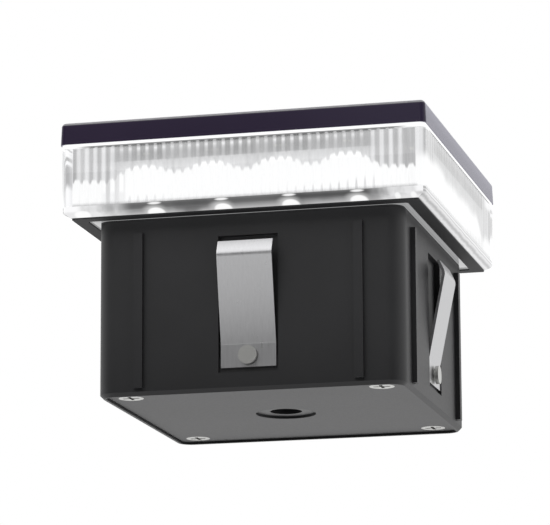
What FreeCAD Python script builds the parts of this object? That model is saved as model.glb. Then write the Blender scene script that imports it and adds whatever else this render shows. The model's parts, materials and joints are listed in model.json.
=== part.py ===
import FreeCAD, Part
import math
import os
import Sketcher

# A square LED cap light, in millimetres. The origin is the centre of the face that it rests on,
# +Z is up, the front is -Y. Everything below z = 0 goes into the square opening that it closes.

SIZES = {
    # the square end that the light closes: its width, and the gasket's opening
    "post_width": 76.2,
    "post_opening": 70.0,
    # die-cast cover
    "cover_width": 80.0,
    "cover_bottom": 16.1,
    "cover_height": 4.9,
    "cover_draft": 2.6,
    "cover_corner": 1.3,
    "cover_edge": 0.9,
    "cover_wall": 2.0,
    "cover_roof": 2.5,
    "lip_width": 73.8,
    "lip_wall": 0.8,
    "lip_drop": 1.2,
    "boss_place": 22.0,
    "boss_radius": 3.2,
    "boss_foot": 0.1,
    "boss_depth": 11.5,
    "running_gap": 0.05,
    # clear ring under the cover
    "lens_base": 0.3,
    "lens_width": 79.2,
    "lens_draft": 1.0,
    "lens_corner": 1.5,
    "lens_inside": 75.2,
    "lens_inside_corner": 0.6,
    "lens_opening": 62.0,
    "lens_opening_corner": 3.0,
    "lens_floor": 2.55,
    "chamfer_top": 1.2,
    "chamfer_corner": 0.6,
    "rib_count": 39,
    "rib_pitch": 1.87,
    "rib_radius": 0.75,
    "rib_proud": 0.38,
    "rib_end": 0.15,
    "seal_height": 0.85,
    "seal_inset": 0.5,
    # white reflector inside the ring
    "core_foot": 67.2,
    "core_head": 58.0,
    "core_wall": 1.4,
    "core_corner": 3.0,
    "core_gap": 0.2,
    # LED board, its pad and its LEDs
    "board_outside": 71.8,
    "board_inside": 51.2,
    "board_corner": 2.0,
    "board_thickness": 1.6,
    "pad_thickness": 0.4,
    "plateau_height": 1.9,
    "plateau_inside": 54.0,
    "tab_width": 16.0,
    "tab_reach": 16.5,
    "led_row": 34.0,
    "led_pitch": 14.7,
    "led_length": 3.5,
    "led_width": 2.8,
    "led_height": 0.7,
    "phosphor_radius": 1.15,
    "phosphor_height": 0.3,
    "ballast_row": 26.6,
    "ballast_step": 24.0,
    "chip_resistor_length": 2.0,
    "chip_resistor_width": 1.25,
    "chip_resistor_height": 0.6,
    # screws: each size is the radius of the head or shank
    "board_screw_place": 32.5,
    "small_head": 2.2,
    "small_head_height": 1.6,
    "small_shank": 1.25,
    "small_length": 4.6,
    "long_head": 2.8,
    "long_head_height": 2.0,
    "long_shank": 1.5,
    "long_length": 11.5,
    "washer_radius": 3.2,
    "washer_height": 0.5,
    "fine_head": 1.9,
    "fine_head_height": 1.3,
    "fine_shank": 1.0,
    "fine_length": 5.4,
    "drive_width": 0.7,
    "drive_share": 1.2,
    "drive_depth": 0.8,
    # plug that goes down into the opening
    "plug_width": 67.0,
    "plug_corner": 4.0,
    "plug_depth": 38.0,
    "plug_drop": 0.2,
    "plug_inside": 61.8,
    "plug_inside_corner": 2.0,
    "deck_thickness": 2.0,
    "plate_recess_width": 64.2,
    "plate_recess": 3.0,
    "guide_place": 24.0,
    "guide_width": 2.0,
    "guide_proud": 1.0,
    "guide_top": 3.0,
    "guide_bottom": 36.5,
    "foot_chamfer": 0.8,
    "pillar_place": 27.4,
    "pillar_radius": 3.8,
    "pillar_hole_depth": 7.5,
    "standoff_place": 19.5,
    "standoff_radius": 2.4,
    "standoff_height": 5.8,
    "standoff_hole_depth": 4.4,
    "plug_seal_outside": 66.6,
    "plug_seal_inside": 62.6,
    # driver and its parts
    "driver_width": 45.0,
    "driver_corner": 1.0,
    "socket_length": 6.0,
    "socket_width": 4.5,
    "socket_height": 4.0,
    "output_height": 4.8,
    "wire_entry": 1.0,
    "wire_entry_radius": 0.7,
    "wire_radius": 0.6,
    "wire_side": 1.25,
    "lead_bend": 3.6,
    "lead_start": 0.35,
    "lead_end": 0.3,
    "inlet_lead_bend": 2.4,
    "inlet_lead_end": 0.28,
    "led_socket_place": 20.0,
    "output_place": 11.0,
    "input_place": 5.0,
    "part_place": 13.0,
    "bulk_radius": 5.0,
    "bulk_height": 16.0,
    "output_radius": 3.2,
    "output_can_height": 7.0,
    "coil_flange": 6.0,
    "coil_core": 3.0,
    "coil_winding": 5.6,
    "coil_height": 8.0,
    "coil_flange_height": 1.2,
    "bridge_length": 8.5,
    "bridge_width": 6.5,
    "bridge_height": 2.6,
    "chip_length": 5.0,
    "chip_width": 3.9,
    "chip_height": 1.5,
    "chip_leg_pitch": 1.27,
    "chip_leg_width": 0.45,
    "chip_span": 6.0,
    "resistor_x": 12.0,
    "resistor_y": 3.5,
    "resistor_step_x": 4.0,
    "resistor_step_y": 3.0,
    "diode_length": 4.6,
    "diode_width": 2.7,
    "diode_height": 2.2,
    "grommet_hole": 4.5,
    "grommet_bore": 3.0,
    "grommet_flange": 5.6,
    "grommet_flange_height": 0.7,
    # plate that closes the plug, and the power inlet in its well
    "plate_width": 63.8,
    "plate_corner": 2.0,
    "plate_thickness": 2.0,
    "plate_lift": 0.5,
    "plate_seal_height": 0.5,
    "plate_seal_inside": 62.5,
    "sink_head": 2.7,
    "sink_height": 1.2,
    "sink_length": 8.0,
    "well_radius": 6.6,
    "well_wall": 1.5,
    "well_top": 27.0,
    "inlet_thread": 4.0,
    "inlet_top": 23.0,
    "inlet_radius": 6.5,
    "inlet_seal_height": 0.6,
    "inlet_bore": 3.5,
    "inlet_bottom": 37.0,
    "inlet_bore_end": 31.5,
    "inlet_nut_radius": 6.3,
    "inlet_nut_height": 2.5,
    "pin_radius": 0.5,
    "pin_top": 22.0,
    # spring clips on the plug's four sides
    "clip_width": 12.0,
    "clip_thickness": 0.6,
    "clip_axis": 30.5,
    "clip_tab": 2.5,
    "clip_arm": 19.4,
    "clip_lean": 11.5,
    "clip_fold": 3.0,
    "clip_fold_lean": 25.0,
    "clip_bend": 2.0,
    "clip_seat_depth": 0.8,
    "clip_recess_depth": 1.3,
    "clip_recess_width": 13.0,
    "clip_recess_top": 4.5,
    "clip_recess_bottom": 34.0,
    "clip_seat_gap": 0.2,
    "rivet_shank": 1.2,
    "rivet_hole": 1.35,
    "rivet_head": 2.0,
    "rivet_head_height": 0.8,
    "rivet_gap": 0.35,
}

QUARTERS = ("front", "right", "back", "left")
LEVEL_GAP = 1e-4
LEAST_CHANGE = 1e-6
UP = FreeCAD.Vector(0, 0, 1)
KEEP = FreeCAD.Rotation(UP, 0)
UPSIDE_DOWN = FreeCAD.Rotation(FreeCAD.Vector(1, 0, 0), 180)

doc = FreeCAD.newDocument("post_cap_light")
sheet = doc.addObject("Spreadsheet::Sheet", "Sizes")
for row, (alias, size) in enumerate(SIZES.items(), start=1):
    sheet.set(f"A{row}", alias)
    sheet.set(f"B{row}", str(size))
    sheet.setAlias(f"B{row}", alias)
doc.recompute()

# Heights that several pieces share, as formulas of the sheet's sizes.
S = "Sizes."
COVER_TOP = "(Sizes.cover_bottom + Sizes.cover_height)"
ROOF = f"({COVER_TOP} - Sizes.cover_roof)"
PLATEAU = f"({ROOF} - Sizes.plateau_height)"
BOARD_TOP = f"({PLATEAU} - Sizes.pad_thickness)"
BOARD_BOTTOM = f"({BOARD_TOP} - Sizes.board_thickness)"
LENS_TOP = "(Sizes.cover_bottom - Sizes.seal_height)"
CORE_TOP = f"({BOARD_BOTTOM} - Sizes.core_gap)"
DECK_TOP = "(-Sizes.plug_drop)"
DECK_BOTTOM = f"({DECK_TOP} - Sizes.deck_thickness)"
DRIVER_TOP = f"({DECK_BOTTOM} - Sizes.standoff_height)"
DRIVER_BOTTOM = f"({DRIVER_TOP} - Sizes.board_thickness)"
PLATE_BOTTOM = "(-Sizes.plug_depth + Sizes.plate_lift)"
PLATE_TOP = f"({PLATE_BOTTOM} + Sizes.plate_thickness)"
LEDGE = "(-Sizes.plug_depth + Sizes.plate_recess)"
WELL_TOP = "(-Sizes.well_top)"
WELL_ROOF = "(-Sizes.well_top - Sizes.plate_thickness)"
CLIP_CENTRE = "(Sizes.plug_width / 2 - Sizes.clip_seat_depth + Sizes.clip_thickness / 2)"

nodes = []


def number(formula):
    """The value of a formula of the sheet's sizes."""
    return float(sheet.evalExpression(formula))


def sizes(*aliases):
    """The values of some of the sheet's sizes."""
    return [number(S + alias) for alias in aliases]


def keep(piece, label):
    """Names a finished sub-part, which is written to a file of its own."""
    piece.Label = label
    nodes.append(piece)
    return piece


# ---- bodies and their features ------------------------------------------------------------


def origin_part(body, role):
    return next(f for f in body.Origin.OriginFeatures if f.Role == role)


def sketch(body, height="0", role="XY_Plane"):
    """A sketch on one of the body's own origin planes, moved along the plane's normal."""
    drawing = body.newObject("Sketcher::SketchObject", body.Name + "_sketch")
    drawing.AttachmentSupport = (origin_part(body, role), [""])
    drawing.MapMode = "FlatFace"
    drawing.setExpression("AttachmentOffset.Base.z", height)
    return drawing


def bind(drawing, constraint, name, formula):
    """Adds a dimension to a sketch and ties it to a formula."""
    index = drawing.addConstraint(constraint)
    drawing.renameConstraint(index, name)
    drawing.setExpression("Constraints." + name, formula)


def rounded_square(drawing, width, corner):
    """A square about the sketch's origin, with rounded corners."""
    half = number(width) / 2
    radius = number(corner)
    flat = half - radius
    first = drawing.GeometryCount
    for quarter in range(4):
        turn = FreeCAD.Rotation(UP, 90 * quarter)
        side = [turn.multVec(FreeCAD.Vector(x, -half, 0)) for x in (-flat, flat)]
        drawing.addGeometry(Part.LineSegment(*side), False)
        middle = turn.multVec(FreeCAD.Vector(flat, -flat, 0))
        start = math.radians(90 * quarter - 90)
        circle = Part.Circle(middle, UP, radius)
        drawing.addGeometry(Part.ArcOfCircle(circle, start, start + math.pi / 2), False)
    for quarter in range(4):
        line = first + 2 * quarter
        arc = line + 1
        after = first + (2 * quarter + 2) % 8
        drawing.addConstraint(Sketcher.Constraint("Tangent", line, 2, arc, 1))
        drawing.addConstraint(Sketcher.Constraint("Tangent", arc, 2, after, 1))
        drawing.addConstraint(Sketcher.Constraint("Vertical" if quarter % 2 else "Horizontal", line))
        if quarter:
            drawing.addConstraint(Sketcher.Constraint("Equal", first + 1, arc))
    tag = f"square{first}"
    bottom, right, top, left = (first + 2 * quarter for quarter in range(4))
    bind(drawing, Sketcher.Constraint("Radius", first + 1, radius), tag + "_corner", corner)
    bind(drawing, Sketcher.Constraint("DistanceX", left, 1, right, 1, 2 * half), tag + "_x", width)
    bind(drawing, Sketcher.Constraint("DistanceY", bottom, 1, top, 1, 2 * half), tag + "_y", width)
    drawing.addConstraint(Sketcher.Constraint("Symmetric", bottom, 1, top, 1, -1, 1))


def rectangle(drawing, x, y, width, height):
    """An upright rectangle whose lower left corner is at x, y."""
    x0, y0, dx, dy = (number(formula) for formula in (x, y, width, height))
    first = drawing.GeometryCount
    corners = [(x0, y0), (x0 + dx, y0), (x0 + dx, y0 + dy), (x0, y0 + dy)]
    points = [FreeCAD.Vector(a, b, 0) for a, b in corners]
    for index in range(4):
        drawing.addGeometry(Part.LineSegment(points[index], points[(index + 1) % 4]), False)
    for index in range(4):
        after = first + (index + 1) % 4
        drawing.addConstraint(Sketcher.Constraint("Coincident", first + index, 2, after, 1))
        drawing.addConstraint(
            Sketcher.Constraint("Vertical" if index % 2 else "Horizontal", first + index)
        )
    tag = f"rectangle{first}"
    bind(drawing, Sketcher.Constraint("DistanceX", -1, 1, first, 1, x0), tag + "_at_x", x)
    bind(drawing, Sketcher.Constraint("DistanceY", -1, 1, first, 1, y0), tag + "_at_y", y)
    bind(drawing, Sketcher.Constraint("DistanceX", first, 1, first, 2, dx), tag + "_x", width)
    bind(drawing, Sketcher.Constraint("DistanceY", first + 1, 1, first + 1, 2, dy), tag + "_y", height)


def circle(drawing, x, y, radius):
    """A full circle, with its centre and its radius tied to formulas."""
    x0, y0, r0 = number(x), number(y), number(radius)
    index = drawing.GeometryCount
    drawing.addGeometry(Part.Circle(FreeCAD.Vector(x0, y0, 0), UP, r0), False)
    tag = f"circle{index}"
    bind(drawing, Sketcher.Constraint("Radius", index, r0), tag + "_radius", radius)
    bind(drawing, Sketcher.Constraint("DistanceX", -1, 1, index, 3, x0), tag + "_x", x)
    bind(drawing, Sketcher.Constraint("DistanceY", -1, 1, index, 3, y0), tag + "_y", y)


def feature(body, kind, profile, length, reverse, taper):
    """A pad or pocket of a sketch, which must change the body's volume."""
    before = body.Shape.Volume if body.Tip else 0.0
    made = body.newObject("PartDesign::" + kind, body.Name + "_" + kind.lower())
    made.Profile = profile
    made.setExpression("Length", length)
    made.Reversed = reverse
    if taper:
        made.setExpression("TaperAngle", taper)
    doc.recompute()
    change = body.Shape.Volume - before
    if (change > 0) != (kind == "Pad") or abs(change) < LEAST_CHANGE:
        raise RuntimeError(f"{body.Name}: {made.Name} changed the volume by {change}")
    return made


def pad(body, profile, length, reverse=False, taper=None):
    return feature(body, "Pad", profile, length, reverse, taper)


def pocket(body, profile, length, reverse=False, taper=None):
    return feature(body, "Pocket", profile, length, reverse, taper)


def loft(body, low, high, kind="AdditiveLoft"):
    """A ruled loft between two sketches."""
    made = body.newObject("PartDesign::" + kind, body.Name + "_loft")
    made.Profile = low
    made.Sections = [high]
    made.Ruled = True
    doc.recompute()
    return made


def around(body, originals, count=4):
    """Repeats features evenly about the upright axis."""
    pattern = body.newObject("PartDesign::PolarPattern", body.Name + "_around")
    pattern.Originals = originals
    pattern.Axis = (origin_part(body, "Z_Axis"), [""])
    pattern.Angle = 360
    pattern.Occurrences = count
    body.Tip = pattern
    doc.recompute()
    return pattern


def level_edges(shape, height):
    """The names of the edges that lie level at a height."""
    names = []
    for index, edge in enumerate(shape.Edges, start=1):
        box = edge.BoundBox
        if max(abs(box.ZMin - height), abs(box.ZMax - height)) < LEVEL_GAP:
            names.append(f"Edge{index}")
    return names


def trim_edges(body, kind, height, size):
    """A fillet or chamfer on the level edges at a height."""
    base = body.Tip
    made = body.newObject("PartDesign::" + kind, body.Name + "_" + kind.lower())
    made.Base = (base, level_edges(base.Shape, height))
    made.setExpression("Radius" if kind == "Fillet" else "Size", size)
    doc.recompute()
    return made


def new_body(label):
    return keep(doc.addObject("PartDesign::Body", label), label)


def square_ring(label, bottom, height, outside, corner, inside, inside_corner):
    """A flat square ring, such as a gasket."""
    body = new_body(label)
    drawing = sketch(body, bottom)
    rounded_square(drawing, outside, corner)
    rounded_square(drawing, inside, inside_corner)
    pad(body, drawing, height)
    return body


# ---- primitives and groups ---------------------------------------------------------------


def place(piece, x, y, z):
    for axis, formula in zip("xyz", (x, y, z)):
        piece.setExpression("Placement.Base." + axis, formula)
    return piece


def box(name, length, width, height, x, y, bottom):
    """A block centred on x, y, standing on its bottom height."""
    piece = doc.addObject("Part::Box", name)
    piece.setExpression("Length", length)
    piece.setExpression("Width", width)
    piece.setExpression("Height", height)
    return place(piece, f"{x} - ({length}) / 2", f"{y} - ({width}) / 2", bottom)


def cylinder(name, radius, height, x, y, bottom):
    piece = doc.addObject("Part::Cylinder", name)
    piece.setExpression("Radius", radius)
    piece.setExpression("Height", height)
    return place(piece, x, y, bottom)


def cone(name, low_radius, high_radius, height, x, y, bottom):
    piece = doc.addObject("Part::Cone", name)
    piece.setExpression("Radius1", low_radius)
    piece.setExpression("Radius2", high_radius)
    piece.setExpression("Height", height)
    return place(piece, x, y, bottom)


def fused(name, pieces):
    made = doc.addObject("Part::MultiFuse", name)
    made.Shapes = pieces
    made.Refine = True
    return made


def cut(name, base, tool):
    made = doc.addObject("Part::Cut", name)
    made.Base = base
    made.Tool = tool
    return made


def group(label, pieces):
    """Several separate solids that share one node."""
    made = doc.addObject("Part::Compound", label)
    made.Links = pieces
    return keep(made, label)


def copies(master, places):
    """Linked copies of a master piece, one at each placement."""
    made = []
    for index, where in enumerate(places):
        copy = doc.addObject("App::Link", f"{master.Name}_{index}")
        copy.LinkedObject = master
        copy.Placement = where
        made.append(copy)
    return made


def at(x, y, z, rotation=KEEP):
    return FreeCAD.Placement(FreeCAD.Vector(x, y, z), rotation)


def four_corners(distance, z, rotation=KEEP):
    """Placements at the four corners of a square, at one height."""
    signs = ((1, 1), (-1, 1), (-1, -1), (1, -1))
    return [at(distance * a, distance * b, z, rotation) for a, b in signs]


def four_sides(distance, z, rotation=KEEP):
    """Placements in the middles of a square's four sides, at one height."""
    spots = ((distance, 0), (0, distance), (-distance, 0), (0, -distance))
    return [at(a, b, z, rotation) for a, b in spots]


def centred(count, step):
    """Evenly spaced places about 0."""
    return [step * (index - (count - 1) / 2) for index in range(count)]


def quarter_turns(piece_places):
    """The front side's placements turned to each side in turn, in the order of QUARTERS."""
    turns = [at(0, 0, 0, FreeCAD.Rotation(UP, 90 * quarter)) for quarter in range(4)]
    return [[turn.multiply(where) for where in piece_places] for turn in turns]


def pan_screw(name, head, head_height, shank, length):
    """A screw standing on its shank's root: the head is above z = 0 and the shank below."""
    top = cylinder(name + "_head", head, head_height, "0", "0", "0")
    stem = cylinder(name + "_stem", shank, length, "0", "0", f"-({length})")
    solid = fused(name + "_solid", [top, stem])
    arm = f"2 * Sizes.drive_share * {shank}"
    floor = f"{head_height} - Sizes.drive_depth"
    slots = [
        box(name + "_slot_x", arm, "Sizes.drive_width", "Sizes.drive_depth", "0", "0", floor),
        box(name + "_slot_y", "Sizes.drive_width", arm, "Sizes.drive_depth", "0", "0", floor),
    ]
    return cut(name, solid, fused(name + "_drive", slots))


# ---- wires and strips --------------------------------------------------------------------


def tangent_path(points, radius):
    """Straight runs through the points, joined by tangent arcs of one radius."""
    runs = []
    start = points[0]
    for before, corner, after in zip(points, points[1:], points[2:]):
        inward = (corner - before).normalize()
        outward = (after - corner).normalize()
        turn = inward.getAngle(outward)
        reach = radius * math.tan(turn / 2)
        arc_start = corner - inward * reach
        arc_end = corner + outward * reach
        bisector = (outward - inward).normalize()
        middle = corner + bisector * (radius / math.cos(turn / 2) - radius)
        runs.append(Part.LineSegment(start, arc_start))
        runs.append(Part.Arc(arc_start, middle, arc_end))
        start = arc_end
    runs.append(Part.LineSegment(start, points[-1]))
    return runs


def pipe(body, path_points, radius, path_role, profile):
    """A pipe of a profile sketch along a path drawn on one of the body's planes."""
    path = sketch(body, profile["offset"], path_role)
    path.addGeometry(tangent_path(path_points, radius), False)
    made = body.newObject("PartDesign::AdditivePipe", body.Name + "_pipe")
    made.Profile = profile["sketch"]
    made.Spine = (path, [f"Edge{index + 1}" for index in range(path.GeometryCount)])
    doc.recompute()
    return made


def lead(label, side, points, radius):
    """A short insulated wire in an upright plane, x = side, through points of (y, z)."""
    body = new_body(label)
    section = sketch(body, str(points[0][1]))
    circle(section, side, str(points[0][0]), "Sizes.wire_radius")
    route = [FreeCAD.Vector(y, z, 0) for y, z in points]
    pipe(body, route, radius, "YZ_Plane", {"sketch": section, "offset": side})
    print(f"{label}: bends of {radius:.2f} mm, {body.Shape.Volume:.2f} mm3")
    return body


# ---- the cover and the clear ring --------------------------------------------------------


def top_cover():
    body = new_body("top_cover")
    outline = sketch(body, "Sizes.cover_bottom")
    rounded_square(outline, "Sizes.cover_width", "Sizes.cover_corner")
    pad(body, outline, "Sizes.cover_height", taper="-Sizes.cover_draft")
    trim_edges(body, "Fillet", number(COVER_TOP), "Sizes.cover_edge")
    hollow = sketch(body, "Sizes.cover_bottom")
    inner_corner = "Sizes.cover_corner / 2"
    rounded_square(hollow, "Sizes.cover_width - 2 * Sizes.cover_wall", inner_corner)
    pocket(body, hollow, "Sizes.cover_height - Sizes.cover_roof", reverse=True)
    # a lip that locates the clear ring
    lip = sketch(body, "Sizes.cover_bottom - Sizes.lip_drop")
    rounded_square(lip, "Sizes.lip_width", inner_corner)
    rounded_square(lip, "Sizes.lip_width - 2 * Sizes.lip_wall", inner_corner)
    pad(body, lip, f"{ROOF} - Sizes.cover_bottom + Sizes.lip_drop")
    # a raised ring that takes the LEDs' heat
    plateau = sketch(body, PLATEAU)
    rounded_square(plateau, "Sizes.board_outside", "Sizes.board_corner")
    rounded_square(plateau, "Sizes.plateau_inside", "Sizes.board_corner")
    pad(body, plateau, "Sizes.plateau_height")
    # four long bosses that the screws from below pull on
    bosses = sketch(body, "Sizes.boss_foot")
    circle(bosses, "Sizes.boss_place", "Sizes.boss_place", "Sizes.boss_radius")
    boss = pad(body, bosses, f"{ROOF} - Sizes.boss_foot")
    pilots = sketch(body, "Sizes.boss_foot")
    bore = "Sizes.long_shank + Sizes.running_gap"
    circle(pilots, "Sizes.boss_place", "Sizes.boss_place", bore)
    pilot = pocket(body, pilots, "Sizes.boss_depth", reverse=True)
    board_holes = sketch(body, PLATEAU)
    bore = "Sizes.small_shank + Sizes.running_gap"
    circle(board_holes, "Sizes.board_screw_place", "Sizes.board_screw_place", bore)
    board_hole = pocket(body, board_holes, "Sizes.small_length - Sizes.board_thickness", reverse=True)
    around(body, [boss, pilot, board_hole])


def lens_ring():
    body = new_body("lens_ring")
    wall = sketch(body, "Sizes.chamfer_top")
    rounded_square(wall, "Sizes.lens_width", "Sizes.lens_corner")
    pad(body, wall, f"{LENS_TOP} - Sizes.chamfer_top", taper="Sizes.lens_draft")
    low = sketch(body, "Sizes.lens_base")
    rounded_square(low, "Sizes.post_width", "Sizes.chamfer_corner")
    high = sketch(body, "Sizes.chamfer_top")
    rounded_square(high, "Sizes.lens_width", "Sizes.lens_corner")
    loft(body, low, high)
    hollow = sketch(body, "Sizes.lens_floor")
    rounded_square(hollow, "Sizes.lens_inside", "Sizes.lens_inside_corner")
    pocket(body, hollow, f"{LENS_TOP} - Sizes.lens_floor", reverse=True)
    opening = sketch(body, "Sizes.lens_floor")
    rounded_square(opening, "Sizes.lens_opening", "Sizes.lens_opening_corner")
    pocket(body, opening, "Sizes.lens_floor - Sizes.lens_base")
    # upright half-round ribs on the inside, which spread the light
    rib_row = "Sizes.lens_inside / 2 + Sizes.rib_radius - Sizes.rib_proud"
    rib_reach = "Sizes.rib_pitch * (Sizes.rib_count - 1)"
    ribs = sketch(body, "Sizes.lens_floor")
    circle(ribs, f"-{rib_reach} / 2", f"-({rib_row})", "Sizes.rib_radius")
    rib = pad(body, ribs, f"{LENS_TOP} - Sizes.lens_floor - Sizes.rib_end")
    pattern = body.newObject("PartDesign::MultiTransform", "lens_ribs")
    pattern.Originals = [rib]
    along = body.newObject("PartDesign::LinearPattern", "ribs_along")
    along.Direction = (origin_part(body, "X_Axis"), [""])
    along.setExpression("Length", rib_reach)
    along.setExpression("Occurrences", "Sizes.rib_count")
    sides = body.newObject("PartDesign::PolarPattern", "ribs_around")
    sides.Axis = (origin_part(body, "Z_Axis"), [""])
    sides.Angle = 360
    sides.Occurrences = 4
    pattern.Transformations = [along, sides]
    body.Tip = pattern
    doc.recompute()


def reflector_core():
    """A white sloping wall behind the LEDs, which stands on the clear ring's floor."""
    body = new_body("reflector_core")
    for kind, wall in (("AdditiveLoft", "0"), ("SubtractiveLoft", "2 * Sizes.core_wall")):
        corner = f"Sizes.core_corner - ({wall}) / 2"
        low = sketch(body, "Sizes.lens_floor")
        rounded_square(low, f"Sizes.core_foot - {wall}", corner)
        high = sketch(body, CORE_TOP)
        rounded_square(high, f"Sizes.core_head - {wall}", corner)
        loft(body, low, high, kind)


def gaskets():
    square_ring(
        "cover_seal", LENS_TOP, "Sizes.seal_height",
        "Sizes.cover_width - Sizes.seal_inset", "Sizes.lens_corner",
        "Sizes.cover_width - 2 * Sizes.cover_wall", "Sizes.lens_inside_corner",
    )
    square_ring(
        "post_gasket", "0", "Sizes.lens_base",
        "Sizes.post_width - Sizes.seal_inset", "Sizes.chamfer_corner",
        "Sizes.post_opening", "Sizes.lens_inside_corner",
    )
    square_ring(
        "plug_seal", DECK_TOP, "Sizes.lens_base + Sizes.plug_drop",
        "Sizes.plug_seal_outside", "Sizes.core_corner",
        "Sizes.plug_seal_inside", "Sizes.core_corner",
    )
    square_ring(
        "bottom_plate_seal", PLATE_TOP, "Sizes.plate_seal_height",
        "Sizes.plate_width", "Sizes.plate_corner",
        "Sizes.plate_seal_inside", "Sizes.plate_corner",
    )


# ---- the LED board -----------------------------------------------------------------------


def led_board():
    body = new_body("led_board")
    outline = sketch(body, BOARD_BOTTOM)
    rounded_square(outline, "Sizes.board_outside", "Sizes.board_corner")
    rounded_square(outline, "Sizes.board_inside", "Sizes.lens_inside_corner")
    pad(body, outline, "Sizes.board_thickness")
    tab = sketch(body, BOARD_BOTTOM)
    reach = "Sizes.board_inside / 2 - Sizes.tab_reach + Sizes.running_gap"
    rectangle(tab, "-Sizes.tab_width / 2", "Sizes.tab_reach", "Sizes.tab_width", reach)
    pad(body, tab, "Sizes.board_thickness")
    holes = sketch(body, BOARD_BOTTOM)
    bore = "Sizes.small_shank + Sizes.running_gap"
    circle(holes, "Sizes.board_screw_place", "Sizes.board_screw_place", bore)
    around(body, [pocket(body, holes, "Sizes.board_thickness", reverse=True)])


def thermal_pad():
    body = square_ring(
        "thermal_pad", BOARD_TOP, "Sizes.pad_thickness",
        "Sizes.board_outside", "Sizes.board_corner",
        "Sizes.plateau_inside", "Sizes.board_corner",
    )
    holes = sketch(body, BOARD_TOP)
    circle(holes, "Sizes.board_screw_place", "Sizes.board_screw_place", "Sizes.long_shank")
    around(body, [pocket(body, holes, "Sizes.pad_thickness", reverse=True)])


def leds():
    """Four LEDs on each side, which face down from the board's rim."""
    height = number(BOARD_BOTTOM)
    row, pitch, tall = sizes("led_row", "led_pitch", "led_height")
    centre = ("0", "0", "0")
    block = box("led_block", "Sizes.led_length", "Sizes.led_width", "Sizes.led_height", *centre)
    fill = ("Sizes.phosphor_radius", "Sizes.phosphor_height", *centre)
    package = cut("led_package", block, cylinder("led_cup", *fill))
    phosphor = cylinder("led_phosphor", *fill)
    front = [at(x, -row, height - tall) for x in centred(4, pitch)]
    sides = quarter_turns(front)
    for side, places in zip(QUARTERS, sides):
        group(side + "_leds", copies(package, places))
    group("led_phosphors", copies(phosphor, [where for places in sides for where in places]))
    ballast = box(
        "ballast", "Sizes.chip_resistor_length", "Sizes.chip_resistor_width",
        "Sizes.chip_resistor_height", *centre,
    )
    row, step, tall = sizes("ballast_row", "ballast_step", "chip_resistor_height")
    pair = [at(x, -row, height - tall) for x in centred(2, step)]
    group("led_resistors", copies(ballast, [where for two in quarter_turns(pair) for where in two]))


def socket(label, y, bottom, height, entry_bottom):
    """A two-way wire socket on a board, with an entry for each wire."""
    block = box(label + "_block", "Sizes.socket_length", "Sizes.socket_width", height, "0", y, bottom)
    entries = [
        cylinder(
            f"{label}_entry_{index}", "Sizes.wire_entry_radius", "Sizes.wire_entry",
            f"{sign} * Sizes.wire_side", y, entry_bottom,
        )
        for index, sign in enumerate((-1, 1))
    ]
    keep(cut(label, block, fused(label + "_entries", entries)), label)


def leads():
    """The two wires from the driver up to the LED board, and the two from the inlet."""
    led_y, output_y, input_y = sizes("led_socket_place", "output_place", "input_place")
    entry, socket_tall, output_tall = sizes("wire_entry", "socket_height", "output_height")
    start, end, inlet_end = sizes("lead_start", "lead_end", "inlet_lead_end")
    bend, inlet_bend = sizes("lead_bend", "inlet_lead_bend")
    led_end = number(BOARD_BOTTOM) - socket_tall + entry
    output_end = number(DRIVER_TOP) + output_tall - entry
    rise = led_end - output_end
    up = [
        (output_y, output_end),
        (output_y, output_end + start * rise),
        (led_y, led_end - end * rise),
        (led_y, led_end),
    ]
    lead("red_lead", "Sizes.wire_side", up, bend)
    lead("black_lead", "-Sizes.wire_side", up, bend)
    pin_end = -number("Sizes.pin_top")
    input_end = number(DRIVER_BOTTOM) - socket_tall + entry
    rise = input_end - pin_end
    down = [
        (0.0, pin_end),
        (0.0, pin_end + inlet_end * rise),
        (-input_y, input_end - inlet_end * rise),
        (-input_y, input_end),
    ]
    lead("inlet_red_lead", "Sizes.wire_side", down, inlet_bend)
    lead("inlet_black_lead", "-Sizes.wire_side", down, inlet_bend)


# ---- the plug that goes down inside ------------------------------------------------------


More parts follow.
